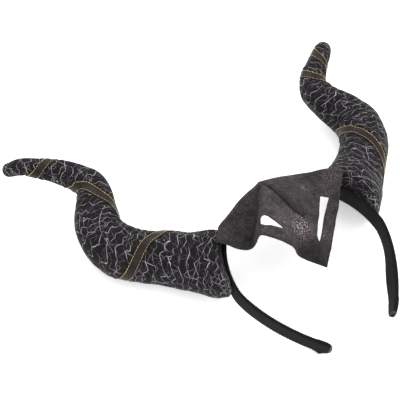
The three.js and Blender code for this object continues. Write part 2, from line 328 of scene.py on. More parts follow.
# Where each strip lies: its place along the horn, from 0 to 1, and the turns it has made there
WINDINGS = {
    "left": [(0.12, 0.66), (0.19, 0.9), (0.23, 1), (0.29, 1.25), (0.39, 1.47), (0.5, 1.69), (0.57, 1.875),
             (0.604, 2), (0.7, 2.25), (0.755, 2.6), (0.79, 3), (0.815, 3.25), (0.88, 3.6)],
    "right": [(0.1, 0.66), (0.2, 0.9), (0.25, 1), (0.315, 1.125), (0.45, 1.26), (0.484, 1.36),
              (0.486, 1.54), (0.545, 1.7), (0.66, 1.85), (0.687, 2), (0.71, 2.2), (0.74, 2.6), (0.767, 3),
              (0.79, 3.16), (0.87, 3.6)],
}
WINDING_WAYS = {"left": -1, "right": 1}
HORN_SIDES = 120
HORN_RINGS = 240
CAP_RINGS = 16
TIP_RINGS = 9
TIP_REACH = 5
BASE_REACH = 24
BASE_FLARE = 0.6
BASE_GAP = 0.15
RIM_SEARCH = 60
RIM_RINGS = 6
RIM_SMOOTHING = 36
SEAM_TURN = 0.37
SEAM_WIDTH = 1.1
SEAM_DEPTH = 0.7
SEAM_PUCKER = 0.25
SEAM_STITCH = 5
LUMP_SIZE = 34
LUMP_HEIGHT = 0.75
SMALL_LUMP_SIZE = 11
SMALL_LUMP_HEIGHT = 0.22
CREASE_PITCH = 8.5
CREASE_DEPTH = 3.4
GATHER_COUNT = 19
GATHER_HEIGHT = 0.75
GATHER_FADE = 8
GATHER_END = 40
DENT_DEPTH = 0.9
DENT_REACH = 4.8
BULGE_HEIGHT = 0.35
BULGE_PLACE = 6.5
BULGE_SPREAD = 2
HELD_REACH = 4.5
PRESSED_HEIGHT = 0.00125
PRESSED_EDGE = 0.0008
CRUMPLE_PLACE = 2
CRUMPLE_SPREAD = 6
CRUMPLE_TOP = 24
CRUMPLE_FADE = 12
STUFFING_PRESSURE = 4
STUFFING_STEPS = 16
STUFFING_REACH = 0.0016


def through(rows, at):
    """A smooth curve through the rows of a table; at runs from 0 to 1."""
    rows = np.asarray(rows, float)
    last = len(rows) - 1
    place = np.clip(np.asarray(at, float), 0, 1) * last
    row = np.minimum(place.astype(int), last - 1)
    t = (place - row)[..., None]
    ends = np.vstack([2 * rows[0] - rows[1], rows, 2 * rows[-1] - rows[-2]])
    before, start, end, after = (ends[row + k] for k in range(4))
    slope_in, slope_out = (end - before) / 2, (after - start) / 2
    square = 3 * (end - start) - 2 * slope_in - slope_out
    cube = slope_in + slope_out - 2 * (end - start)
    return start + t * (slope_in + t * (square + t * cube))


def unit(vectors):
    return vectors / np.linalg.norm(vectors, axis=-1, keepdims=True)


horn_share = np.linspace(0, 1, 3001)
horn_reach = {}
for side, sections in HORN_SECTIONS.items():
    horn_step = np.linalg.norm(np.diff(through(sections, horn_share)[:, :3], axis=0), axis=1)
    horn_reach[side] = np.concatenate([[0], np.cumsum(horn_step)])


def horn_frame(side, reach):
    """Centre, directions along, to the front and inwards, and radius, at a reach in mm from the base."""
    sections, length = HORN_SECTIONS[side], horn_reach[side][-1]
    at = np.interp(reach, horn_reach[side], horn_share)
    section = through(sections, at)
    along = unit(through(sections, at + 1e-3)[..., :3] - through(sections, at - 1e-3)[..., :3])
    front = unit(np.array([0, -1, 0]) + along * along[..., 1:2])
    inner = np.cross(front, along)
    beyond = np.minimum(reach, 0) + np.maximum(reach - length, 0)
    blunt = np.clip((reach - length) / TIP_REACH, 0, 1)
    centre = section[..., :3] + along * beyond[..., None]
    return centre, along, front, inner, section[..., 3] * np.sqrt(1 - blunt ** 2)


def horn_point(side, reach, turn, lift=0):
    """A point on the horn's face, or a lift in mm off it."""
    centre, _, front, inner, radius = horn_frame(side, reach)
    angle = 2 * math.pi * turn
    way = front * np.cos(angle)[..., None] + inner * np.sin(angle)[..., None]
    return centre + way * (radius + lift)[..., None]


def off_band(points):
    """How far out points lie: 1 on the band's outer face, which flares in front of it and behind it."""
    x, y, z = np.moveaxis(points, -1, 0)
    grown = 1 + BASE_FLARE * np.maximum(0, np.abs(y) - BAND_WIDTH / 2) / BAND_HALF_WIDTH
    reach = BAND_THICKNESS / 2 + BASE_GAP
    across = np.abs(x) / grown / (BAND_HALF_WIDTH + reach)
    upper = np.hypot(across, z / grown / (BAND_TOP_HEIGHT + reach))
    down = np.abs(z) / grown / (BAND_ARM_HEIGHT + reach)
    lower = (across ** BAND_ARM_EXPONENT + down ** BAND_ARM_EXPONENT) ** (1 / BAND_ARM_EXPONENT)
    return np.where(z > 0, upper, lower)


def lumps(points, size, seed):
    """Smooth random swelling, mostly between -1 and 1, over lumps of a size."""
    rng = np.random.default_rng(seed)
    ways = unit(rng.normal(size=(14, 3))) * rng.uniform(0.6, 1.4, (14, 1)) * 2 * math.pi / size
    return np.sin(points @ ways.T + rng.uniform(0, 2 * math.pi, 14)).sum(-1) / 4


def strip_route(side, share):
    """The strip's reach along its horn and its turn, at shares of its length."""
    along, turns = np.moveaxis(through(WINDINGS[side], share), -1, 0)
    return np.interp(along, horn_share, horn_reach[side]), turns * WINDING_WAYS[side]


def outward(grid):
    """The outward direction at each point of a tube's rings."""
    along = np.gradient(grid, axis=0)
    across = np.roll(grid, -1, 1) - np.roll(grid, 1, 1)
    return unit(np.cross(along, across) + 1e-9)


def horn_grid(side):
    """Rings of points from the middle of the base out to its rim and along to the tip, as worn on the
    right, with each point's reach and turn."""
    turn = SEAM_TURN + np.arange(HORN_SIDES) / HORN_SIDES
    probe = np.linspace(-BASE_REACH, RIM_SEARCH, 400)
    inside = off_band(horn_point(side, probe[:, None] + 0 * turn, turn + 0 * probe[:, None])) < 1
    rim = probe[len(probe) - 1 - np.argmax(inside[::-1], axis=0)]
    share = np.linspace(0, 1, HORN_RINGS)[:, None]
    horn_length = horn_reach[side][-1]
    tip = horn_length + TIP_REACH * np.sin(np.linspace(0, math.radians(86), TIP_RINGS))[1:, None]
    reach = np.concatenate([rim + (horn_length - rim) * share, tip + 0 * turn])
    turns = turn + 0 * reach
    shell = horn_point(side, reach, turns)
    middle = shell[0].mean(0)
    inward = np.linspace(0.04, 1, CAP_RINGS, endpoint=False)[:, None, None]
    cap = middle + (shell[0] - middle) * inward
    cap[..., [0, 2]] /= off_band(cap)[..., None]
    grid = np.concatenate([cap, shell])
    # the rim is rounded over
    rounded = np.exp(-((np.arange(len(grid)) - CAP_RINGS) / RIM_RINGS) ** 2)[1:-1, None, None]
    for _ in range(RIM_SMOOTHING):
        grid[1:-1] += 0.5 * rounded * ((grid[:-2] + grid[2:]) / 2 - grid[1:-1])
    cap_reach = rim - np.linalg.norm(shell[0] - cap, axis=-1)
    return grid, np.concatenate([cap_reach, reach]), np.concatenate([turn + 0 * cap_reach, turns]), rim


def stuffed(side, seed):
    """The horn's skin: swollen by its stuffing, creased in its bends, pulled in under its strip,
    gathered at its base and drawn in along its seam."""
    grid, reach, turn, rim = horn_grid(side)
    radius = horn_frame(side, reach)[4]
    bend = (horn_frame(side, reach + 2)[1] - horn_frame(side, reach - 2)[1]) / 4
    out = outward(grid)
    middle = grid[len(grid) // 2]
    if (out[len(grid) // 2] * (middle - middle.mean(0))).sum() < 0:
        out = -out
    slack = np.clip((bend * out).sum(-1) * radius, 0, 0.6)
    phase = reach / CREASE_PITCH + 0.35 * lumps(grid, 30, seed + 1)
    crease = (1 - np.abs(np.sin(math.pi * phase))) ** 2.2
    size = np.clip(radius / 20, 0.15, 1.1)
    swell = LUMP_HEIGHT * lumps(grid, LUMP_SIZE, seed)
    swell = size * (swell + SMALL_LUMP_HEIGHT * lumps(grid, SMALL_LUMP_SIZE, seed + 2))
    swell -= CREASE_DEPTH * slack * crease * size
    from_rim = np.abs(reach - rim)
    gathers = np.cos(2 * math.pi * GATHER_COUNT * turn + 2.2 * lumps(grid, 22, seed + 3))
    swell += GATHER_HEIGHT * gathers * np.exp(-from_rim / GATHER_FADE) * (reach < rim + GATHER_END)
    to_seam = np.abs((turn - SEAM_TURN + 0.5) % 1 - 0.5) * 2 * math.pi * radius
    drawn_in = SEAM_DEPTH + SEAM_PUCKER * np.cos(2 * math.pi * reach / SEAM_STITCH)
    swell -= np.exp(-(to_seam / SEAM_WIDTH) ** 2) * drawn_in * (reach > rim)
    route_reach, route_turn = strip_route(side, np.linspace(0, 1, 500))
    route = horn_point(side, route_reach, route_turn)
    held = np.ones(grid.shape[:2])
    for ring in range(CAP_RINGS, len(grid)):
        gap = np.linalg.norm(grid[ring][:, None] - route, axis=-1).min(1)
        swell[ring] -= DENT_DEPTH * np.exp(-(gap / DENT_REACH) ** 4)
        swell[ring] += BULGE_HEIGHT * np.exp(-((gap - BULGE_PLACE) / BULGE_SPREAD) ** 2)
        held[ring] = np.exp(-(gap / HELD_REACH) ** 6)
    held = np.maximum(held, np.clip(1 - (reach - rim) / 6, 0, 1))
    held[-3:] = 1
    skin = grid + out * swell[..., None]
    sunk = np.where(reach < rim + 12, np.minimum(off_band(skin), 1), 1)
    skin[..., [0, 2]] /= sunk[..., None]
    return skin, reach, turn, radius, reach - rim, held


def press(points):
    """Rests points on the floor, with a rounded edge to the flat."""
    height = points[..., 2] - PRESSED_HEIGHT
    points[..., 2] = PRESSED_HEIGHT + PRESSED_EDGE * np.logaddexp(0, height / PRESSED_EDGE)
    return points


def filled(made, held):
    """Lets the stuffing press a skin out between the points that hold it in."""
    start = np.array([v.co for v in made.data.vertices])
    pins = made.vertex_groups.new(name="held")
    for index, weight in enumerate(held.tolist()):
        pins.add([index], weight, "REPLACE")
    cloth = made.modifiers.new("stuffing", "CLOTH")
    cloth.settings.vertex_group_mass = "held"
    cloth.settings.use_pressure = True
    cloth.settings.uniform_pressure_force = STUFFING_PRESSURE
    cloth.settings.effector_weights.gravity = 0
    cloth.point_cache.frame_end = STUFFING_STEPS
    for step in range(1, STUFFING_STEPS + 1):
        bpy.context.scene.frame_set(step)
    swollen = made.evaluated_get(bpy.context.evaluated_depsgraph_get())
    moved = np.array([v.co for v in swollen.data.vertices]) - start
    far = np.maximum(np.linalg.norm(moved, axis=1, keepdims=True), 1e-9)
    end = start + moved / far * STUFFING_REACH * np.tanh(far / STUFFING_REACH)
    made.modifiers.remove(cloth)
    made.vertex_groups.remove(pins)
    bpy.context.scene.frame_set(1)
    made.data.vertices.foreach_set("co", press(end).ravel())
    made.data.update()


# Zigzag lines in the print, in sets: the pitch and the length of a kink in metres, the line's share of the
# pitch, the slant, how far the lines are broken up, a place in the noise and the strength
ZIGZAGS = [
    (0.0070, 0.0125, 0.026, 0.06, 0.34, 0.3, 1),
    (0.0108, 0.0085, 0.016, -0.18, 0.42, 2.7, 0.65),
    (0.021, 0.03, 0.010, -0.75, 0.36, 5.3, 0.9),
    (0.023, 0.045, 0.009, 0.7, 0.38, 3.9, 0.7),
]


def crackle_cloth():
    """Near-black cloth with a broken net of fine silvery lines, most of them across the horn."""
    finish, tree, skin = new_finish("crackle_cloth")
    uv = put(tree, "ShaderNodeUVMap").outputs["UV"]
    gathered = put(tree, "ShaderNodeAttribute", attribute_name="gathered").outputs["Fac"]
    stray = put(tree, "ShaderNodeTexNoise", {"Vector": uv, "Scale": 190, "Detail": 2.0}).outputs[1]
    centred = put(tree, "ShaderNodeVectorMath", {0: stray, 1: (0.5, 0.5, 0.5)}, operation="SUBTRACT")
    pushed = put(tree, "ShaderNodeVectorMath", {0: centred.outputs[0], 3: 0.0011}, operation="SCALE")
    bent = put(tree, "ShaderNodeVectorMath", {0: uv, 1: pushed.outputs[0]}).outputs[0]

    def patches(seed, low):
        """A cloudy mask that breaks lines up."""
        cloud = put(tree, "ShaderNodeMapping", {"Vector": uv, "Location": (seed, 2 * seed, 0)}).outputs[0]
        return between(tree, grain(tree, cloud, 0.006, 3.0), low, low + 0.28, 0.12, 1)

    def kinked(pitch, kink, line, slant, low, seed):
        """Thin zigzag lines side by side across the horn."""
        inputs = {"Vector": bent, "Location": (seed, seed, 0), "Rotation": (0, 0, slant)}
        where = put(tree, "ShaderNodeMapping", inputs).outputs[0]
        parts = put(tree, "ShaderNodeSeparateXYZ", {0: where})
        drift = sums(tree, "MULTIPLY", grain(tree, where, 0.022, 1.0), 2.0)
        beat = sums(tree, "MULTIPLY_ADD", parts.outputs[0], 1 / kink, sums(tree, "MULTIPLY", drift, 1.3))
        zigzag = sums(tree, "PINGPONG", beat, 0.5)
        place = sums(tree, "MULTIPLY_ADD", parts.outputs[1], 1 / pitch, drift)
        place = sums(tree, "MULTIPLY_ADD", zigzag, 0.85, place)
        gap = sums(tree, "PINGPONG", place, 0.5)
        return sums(tree, "MULTIPLY", between(tree, gap, 0.35 * line, line, 1, 0), patches(seed, low))

    def net(cell_round, cell_along, line, low, seed):
        """Lines round small cells that join the zigzags."""
        inputs = {"Vector": bent, "Location": (seed, seed, 0), "Scale": (1 / cell_round, 1 / cell_along, 1)}
        cells = put(tree, "ShaderNodeMapping", inputs).outputs[0]
        inputs = {"Vector": cells, "Scale": 1.0, "Randomness": 1.0}
        gap = put(tree, "ShaderNodeTexVoronoi", inputs, feature="DISTANCE_TO_EDGE",
                  voronoi_dimensions="2D").outputs[0]
        return sums(tree, "MULTIPLY", between(tree, gap, 0.3 * line, line, 1, 0), patches(seed, low))

    lines = sums(tree, "MULTIPLY", net(0.0115, 0.0075, 0.021, 0.46, 8.1), 0.42)
    for *drawn, strength in ZIGZAGS:
        lines = sums(tree, "MAXIMUM", lines, sums(tree, "MULTIPLY", kinked(*drawn), strength))
    lines = sums(tree, "MULTIPLY", lines, between(tree, gathered, 0.25, 0.8, 1, 0.25))
    crumpled = put(tree, "ShaderNodeAttribute", attribute_name="crumpled").outputs["Fac"]
    crumpled = sums(tree, "MULTIPLY", net(0.0042, 0.0034, 0.1, 0.42, 4.4), crumpled)
    lines = sums(tree, "MAXIMUM", lines, crumpled)
    weave = grain(tree, uv, 0.0009)
    cloud = grain(tree, uv, 0.03)
    ground = mixed(tree, between(tree, weave, 0.3, 0.7), shade(9, 8, 9), shade(26, 22, 26))
    ground = mixed(tree, between(tree, cloud, 0.4, 0.75, 0, 0.4), ground, shade(33, 28, 32))
    colour = mixed(tree, lines, ground, shade(200, 197, 202))
    tree.links.new(colour, skin.inputs["Base Color"])
    tree.links.new(between(tree, lines, 0, 1, 0.78, 0.45), skin.inputs["Roughness"])
    tree.links.new(sums(tree, "MULTIPLY", lines, 0.3), skin.inputs["Metallic"])
    skin.inputs["Sheen Weight"].default_value = 0.05
    skin.inputs["Sheen Roughness"].default_value = 0.3
    skin.inputs["Specular IOR Level"].default_value = 0.12
    height = sums(tree, "MULTIPLY_ADD", lines, 0.35, sums(tree, "MULTIPLY", weave, 0.65))
    raised(tree, skin, height, 0.00022)
    return finish


crackle = crackle_cloth()
horns = {}
for side, seed in (("left", 11), ("right", 29)):
    skin_points, skin_reach, skin_turn, skin_radius, from_base, held = stuffed(side, seed)
    if side == "left":
        skin_points[..., 0] *= -1
    turn_uv = np.concatenate([skin_turn, skin_turn[:, :1] + 1], 1) - SEAM_TURN - 0.5
    reach_uv = np.concatenate([skin_reach, skin_reach[:, :1]], 1)
    radius_uv = np.concatenate([skin_radius, skin_radius[:, :1]], 1)
    horn_uv = np.stack([turn_uv * 2 * math.pi * radius_uv, reach_uv], -1) / 1000 + seed / 50
    horn = tube(side + "_stuffed_horn", press(laid(skin_points)), horn_uv)
    gathered = np.exp(-np.maximum(from_base + 9, 0) / 6)
    mark(horn, "gathered", np.append(gathered.ravel(), [1, 0]))
    # the print is bunched up at the base's lower side
    crumpled = np.exp(-((from_base - CRUMPLE_PLACE) / CRUMPLE_SPREAD) ** 2)
    crumpled *= np.clip((CRUMPLE_TOP - skin_points[..., 2]) / CRUMPLE_FADE, 0, 1)
    mark(horn, "crumpled", np.append(crumpled.ravel(), [0, 0]))
    filled(horn, np.append(held.ravel(), [1, 1]))
    horn.data.materials.append(crackle)
    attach(horn, "root")
    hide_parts(side + "_horn")
    horns[side] = horn

# Strips
# A flat strip of dark imitation leather wound round each horn from base to tip and pulled tight, with
# a gold thread stitched along both edges.
STRIP_WIDTH = 8
STRIP_THICKNESS = 1.0
STRIP_GAP = 0.2
STRIP_STEPS = 560
STRIP_COLUMNS = 13
STITCH_LENGTH = 2.3
STITCH_SPACING = 2.65
STITCH_INSET = 0.55
STITCH_RINGS = 6
STITCH_DIVE = 0.12
THREAD_SIDES = 6
THREAD_RADIUS = 0.22
FINE_THREAD_RADIUS = 0.14
STRIP_EDGE = 0.35
STRIP_SMOOTHING = 10
# Heights in metres that the faces of the strip and its thread keep above the floor
UNDER_HEIGHT = 0.0009
OVER_HEIGHT = 0.0001
THREAD_HEIGHT = 0.00005


def strip_face(side):
    """Points of the strip's under face on the horn's skin, as laid, with the way out of the skin and the
    length run at each step."""
    share = np.linspace(0, 1, STRIP_STEPS)
    step = 1e-3
    reach, turn = strip_route(side, share)
    before, after = strip_route(side, share - step), strip_route(side, share + step)
    round_mm = 2 * math.pi * horn_frame(side, reach)[4]
    ahead = horn_point(side, reach + 0.5, turn)
    stretch = np.linalg.norm(ahead - horn_point(side, reach - 0.5, turn), axis=-1)
    run = unit(np.stack([(after[0] - before[0]) * stretch, (after[1] - before[1]) * round_mm], -1))
    across = np.linspace(-0.5, 0.5, STRIP_COLUMNS) * STRIP_WIDTH
    strand_reach = reach[:, None] - run[:, 1:] * across / stretch[:, None]
    strand_turn = turn[:, None] + run[:, :1] * across / round_mm[:, None]
    mirror = np.array([-1 if side == "left" else 1, 1, 1])
    skin = BVHTree.FromObject(horns[side], bpy.context.evaluated_depsgraph_get())
    face = np.zeros(strand_reach.shape + (3,))
    start = laid(horn_point(side, strand_reach, strand_turn, 9) * mirror)
    axis = laid(horn_frame(side, strand_reach)[0] * mirror)
    for spot in np.ndindex(strand_reach.shape):
        way = Vector(axis[spot] - start[spot]).normalized()
        found = skin.ray_cast(Vector(start[spot]), way)[0]
        if found is None:
            found = laid(horn_point(side, strand_reach[spot], strand_turn[spot]) * mirror)
        face[spot] = found
    for _ in range(STRIP_SMOOTHING):
        face[1:-1] += 0.5 * ((face[:-2] + face[2:]) / 2 - face[1:-1])
        face[:, 1:-1] += 0.5 * ((face[:, :-2] + face[:, 2:]) / 2 - face[:, 1:-1])
    out = np.cross(np.gradient(face, axis=0), np.gradient(face, axis=1))
    out = unit(out) * np.sign((out * (face - axis)).sum(-1, keepdims=True))
    length = np.linalg.norm(np.diff(face[:, STRIP_COLUMNS // 2], axis=0), axis=1)
    return face, out, np.concatenate([[0], np.cumsum(length)])


def strip_leather():
    """Dark grey-brown imitation leather: a fine pebbled grain with a soft shine."""
    finish, tree, skin = new_finish("strip_leather")
    where = put(tree, "ShaderNodeTexCoord").outputs["Object"]
    pebble = put(tree, "ShaderNodeTexVoronoi", {"Vector": where, "Scale": 1900.0}).outputs[0]
    scuff = grain(tree, where, 0.009)
    colour = mixed(tree, between(tree, scuff, 0.35, 0.7), shade(24, 21, 21), shade(38, 34, 33))
    tree.links.new(colour, skin.inputs["Base Color"])
    tree.links.new(between(tree, scuff, 0.3, 0.75, 0.36, 0.5), skin.inputs["Roughness"])
    skin.inputs["Specular IOR Level"].default_value = 0.14
    raised(tree, skin, pebble, 0.00006)
    return finish


def gold_thread():
    """Twisted thread in an old gold colour, with a soft metallic shine."""
    finish, tree, skin = new_finish("gold_thread")
    where = put(tree, "ShaderNodeTexCoord").outputs["Object"]
    twist = put(tree, "ShaderNodeTexWave", {"Vector": where, "Scale": 900.0, "Distortion": 2.0}).outputs[1]
    wear = grain(tree, where, 0.006)
    colour = mixed(tree, between(tree, wear, 0.35, 0.7), shade(188, 150, 78), shade(236, 200, 120))
    tree.links.new(colour, skin.inputs["Base Color"])
    tree.links.new(between(tree, wear, 0.3, 0.7, 0.5, 0.36), skin.inputs["Roughness"])
    skin.inputs["Metallic"].default_value = 0.15
    raised(tree, skin, twist, 0.0001)
    return finish


def stitches(face, out, length, column, radius):
    """Short stitches of thread along one column of the strip, each bowed into the leather at its ends."""
    points, faces = [], []
    total = length[-1] * 1000
    ring_turn = np.linspace(0, 2 * math.pi, THREAD_SIDES + 1)[:-1]
    for start in np.arange(1, total - STITCH_LENGTH, STITCH_SPACING):
        place = (start + np.linspace(0, STITCH_LENGTH, STITCH_RINGS)) / 1000
        line = np.stack([np.interp(place, length, face[:, column, k]) for k in range(3)], -1)
        up = unit(np.stack([np.interp(place, length, out[:, column, k]) for k in range(3)], -1))
        bow = np.sin(np.linspace(STITCH_DIVE, math.pi - STITCH_DIVE, STITCH_RINGS))[:, None]
        line = line + up * (STRIP_GAP + 0.9 * STRIP_THICKNESS + 0.45 * radius * bow) / 1000
        side_way = unit(np.cross(up, np.gradient(line, axis=0)))
        fat = radius / 1000 * (0.45 + 0.55 * bow)
        rings = line[:, None] + fat[:, None] * (up[:, None] * np.cos(ring_turn)[:, None]
                                                + side_way[:, None] * np.sin(ring_turn)[:, None])
        first = sum(len(p) for p in points)
        points.append(rings.reshape(-1, 3))
        last = first + (STITCH_RINGS - 1) * THREAD_SIDES
        for ring in range(first, last, THREAD_SIDES):
            for j in range(THREAD_SIDES):
                k = (j + 1) % THREAD_SIDES
                faces.append([ring + j, ring + k, ring + THREAD_SIDES + k, ring + THREAD_SIDES + j])
        faces.append([first + j for j in reversed(range(THREAD_SIDES))])
        faces.append([last + j for j in range(THREAD_SIDES)])
    return np.concatenate(points), faces


leather = strip_leather()
gold = gold_thread()
for side in ("left", "right"):
    face, out, length = strip_face(side)
    rounding = np.sqrt(1 - np.linspace(-1, 1, STRIP_COLUMNS) ** 8)[None, :, None]
    under = face + out * STRIP_GAP / 1000
    over = under + out * STRIP_THICKNESS / 1000 * (STRIP_EDGE + (1 - STRIP_EDGE) * rounding)
    under[..., 2] = np.maximum(under[..., 2], UNDER_HEIGHT)
    over[..., 2] = np.maximum(over[..., 2], OVER_HEIGHT)
    strip_rings = np.concatenate([under, over[:, ::-1]], 1)
    strip_uv = np.zeros((STRIP_STEPS, 2 * STRIP_COLUMNS + 1, 2))
    strip_uv[..., 0] = length[:, None]
    strip_uv[..., 1] = np.linspace(0, 2 * STRIP_WIDTH / 1000, 2 * STRIP_COLUMNS + 1)
    strip = tube(side + "_wound_strip", strip_rings, strip_uv)
    strip.data.materials.append(leather)
    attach(strip, "root")
    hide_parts(side + "_strip")
    inset = round(STITCH_INSET / STRIP_WIDTH * (STRIP_COLUMNS - 1))
    edge_columns = (inset, STRIP_COLUMNS - 1 - inset)
    # the edge towards the tip has the thicker thread
    tip_column = edge_columns[0] if WINDING_WAYS[side] > 0 else edge_columns[1]
    thread_points, thread_faces = [], []
    for edge_column in edge_columns:
        radius = THREAD_RADIUS if edge_column == tip_column else FINE_THREAD_RADIUS
        row_points, row_faces = stitches(face, out, length, edge_column, radius)
        first = sum(len(p) for p in thread_points)
        thread_points.append(row_points)
        thread_faces.extend([[first + corner for corner in corners] for corners in row_faces])
    thread_points = np.concatenate(thread_points)
    thread_points[:, 2] = np.maximum(thread_points[:, 2], THREAD_HEIGHT)
    thread = piece(side + "_strip_stitching", thread_points, thread_faces)
    face_out(thread)
    thread.data.materials.append(gold)
    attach(thread, "root")

# Flap
# A piece of charcoal suede cloth cut with raw edges and two slots, sewn from two panels that overlap
# down the middle. Its top is turned over the band and glued, and it falls in a fold over the forehead.

# The columns are where the top lies across the band, how far it is raised and brought forward over a
# horn's base, its lower end's x, y and z, how far it bulges and how far the hem reaches back.
FLAP_SECTIONS = [
    (-53, 6.5, 2, -65, -21.5, 38, 1, 0.8),
    (-42, 1.5, 0, -58.5, -20, 32, 1, 3),
    (-33, 0, 0, -49.5, -14.5, 26, 0, 12),
    (-23, 0, 0, -43.5, -16.5, 22, 0, 15),
    (-14, 0, 0, -41, -23, 20.7, 0, 15),
    (-7, 0, 0, -39.5, -37, 20.3, 4, 15),
    (-3, 0, 0, -30, -36.5, 12, 5, 15),
    (0, 0, 0, -22, -32.5, 4.7, 8, 15),
    (3, 0, 0, -14, -18, -2.4, 14, 15),
    (10, 0, 0, 0.3, -13, -16.2, 13, 15),
    (22, 0, 0, 15, -11, -2.2, 6, 15),
    (33, 1.8, 0, 31, -11, 14.6, 3, 12),
    (42, 4.6, 1.5, 42, -13, 26.2, 1, 3),
    (60, 14, 7.5, 50, -18, 36.5, 1, 0.8),
]
FLAP_THICKNESS = 1.2
FLAP_COLUMNS = 222
FLAP_ROWS = 130
FLAP_HEM_SHARE = 3 / 15
FLAP_TIP_ROW = 9
FLAP_CLEARANCE = 0.4
FLAP_PEAK = 2.6
FLAP_PEAK_X = -3
FLAP_PEAK_LEFT = 5
FLAP_PEAK_RIGHT = 12
FLAP_FALL_START = 0.08
LAP_STEP = 0.7
LAP_RISE = 3.2
LAP_RISE_LENGTH = 2.2
LAP_FADE = 16
RIDGE_HEIGHT = 1.5
RIDGE_SPREAD = 3
VALLEY_DEPTH = 3.8
VALLEY_PLACE = 5.5
VALLEY_SPREAD = 3.9
RIPPLE_SIZE = 16
RIPPLE_HEIGHT = 0.3
SMALL_RIPPLE_SIZE = 6
SMALL_RIPPLE_HEIGHT = 0.12
SLOT_MARGIN = 3
# Outlines of the slots and the lines of the seam and the fold's ridge, as seen from the front
SLOT_OUTLINES = [
    [(-30.5, 33.6), (-28, 34.9), (-25.5, 35.1), (-23.6, 33.4), (-18.8, 17.2), (-22.8, 20.6), (-27.2, 24.2),
     (-32, 26), (-34, 28)],
    [(31, 37.1), (36.4, 33), (26.3, 23.4), (16, 12.3), (8.4, 4.5), (3, 1), (5, 6.8), (17, 20.5)],
]
SEAM_LINE = [(-2.6, 71), (-3.4, 51.4), (-3.5, 38.7), (-1.1, 28.7), (2.5, 22.8)]
RIDGE_LINE = [(-4, 66), (-17.3, 50.3), (-27.8, 37.3), (-35.2, 27.9), (-39.2, 21)]
# Brushed places with pale specks: x and z as seen from the front, the spread and the strength
BRUSHED_PLACES = [
    (-3, 17.5, 7.4, 1.0),
    (46, 49, 8, 0.32),
    (23, 49, 3, 0.45),
    (14, 6, 6, 0.35),
    (-16, 22, 7, 0.3),
]

flap_out = BAND_THICKNESS / 2 + FLAP_CLEARANCE + FLAP_THICKNESS / 2
flap_front = -BAND_WIDTH / 2 - FLAP_CLEARANCE - FLAP_THICKNESS / 2


def flap_sheet(across, down):
    """The middle of the cloth as worn: a hem over the band, then a fall to the lower edge."""
    top_x, lift, forward, _, _, _, bulge, hem = np.moveaxis(through(FLAP_SECTIONS, across), -1, 0)
    # the lower edge turns a sharp corner at the tip
    row = across * (len(FLAP_SECTIONS) - 1)
    left = through(FLAP_SECTIONS[:FLAP_TIP_ROW + 1], row / FLAP_TIP_ROW)
    past_tip = (row - FLAP_TIP_ROW) / (len(FLAP_SECTIONS) - 1 - FLAP_TIP_ROW)
    right = through(FLAP_SECTIONS[FLAP_TIP_ROW:], past_tip)
    low_x, low_y, low_z = np.moveaxis(np.where((row < FLAP_TIP_ROW)[..., None], left, right), -1, 0)[3:6]
    height = np.sqrt(1 - (top_x / (BAND_HALF_WIDTH + flap_out)) ** 2) * (BAND_TOP_HEIGHT + flap_out)
    top_y = flap_front - np.maximum(0, forward)
    aside = top_x - FLAP_PEAK_X
    peak = FLAP_PEAK * np.exp(np.where(aside < 0, aside / FLAP_PEAK_LEFT, -aside / FLAP_PEAK_RIGHT))
    top_z = height + np.maximum(0, lift) + peak * np.clip(down / FLAP_HEM_SHARE, 0, 1)
    fall = np.clip((down - FLAP_HEM_SHARE) / (1 - FLAP_HEM_SHARE), 0, 1)
    back = hem * np.clip(1 - down / FLAP_HEM_SHARE, 0, 1)
    x = top_x + (low_x - top_x) * fall
    y = top_y + (low_y - top_y) * fall - 4 * bulge * fall * (1 - fall) + back
    return np.stack([x, y, top_z + (low_z - top_z) * fall], -1)


def beside(points, drawn):
    """Distance in mm to the right of a line drawn down the front, and a share that fades past its end."""
    x, z = points[..., 0], points[..., 2]
    line = np.array(drawn)[::-1]
    return x - np.interp(z, line[:, 1], line[:, 0]), np.clip((z - line[0, 1]) / 4 + 1, 0, 1)


def suede():
    """Charcoal suede cloth: a mottled, brushed nap, pale specks where it has been rubbed, and painted
    shade.
    """
    finish, tree, skin = new_finish("suede")
    where = put(tree, "ShaderNodeTexCoord").outputs["Object"]
    nap = grain(tree, where, 0.0011, 4.0, 0.65)
    cloud = grain(tree, where, 0.009, 4.0, 0.65)
    fleck = grain(tree, where, 0.00075, 1.0, 0.4)
    rubbed = put(tree, "ShaderNodeAttribute", attribute_name="rubbed").outputs["Fac"]
    creased = put(tree, "ShaderNodeAttribute", attribute_name="creased").outputs["Fac"]
    ground = mixed(tree, between(tree, nap, 0.3, 0.7), shade(30, 28, 29), shade(90, 83, 87))
    ground = mixed(tree, between(tree, cloud, 0.4, 0.68, 0, 0.75), ground, shade(36, 33, 35))
    # painted shade: the ground is darkened where the creased mark is set
    ground = mixed(tree, creased, ground, shade(17, 16, 17))
    uneven = between(tree, grain(tree, where, 0.0035, 2.0), 0.3, 0.65, 0.2, 1)
    patch = sums(tree, "MULTIPLY", rubbed, uneven)
    specks = sums(tree, "MULTIPLY", between(tree, fleck, 0.54, 0.64), patch)
    colour = mixed(tree, specks, ground, shade(206, 188, 190))
    tree.links.new(colour, skin.inputs["Base Color"])
    skin.inputs["Roughness"].default_value = 0.95
    skin.inputs["Specular IOR Level"].default_value = 0.1
    skin.inputs["Sheen Weight"].default_value = 0.05
    skin.inputs["Sheen Roughness"].default_value = 0.5
    raised(tree, skin, nap, 0.00035)
    return finish


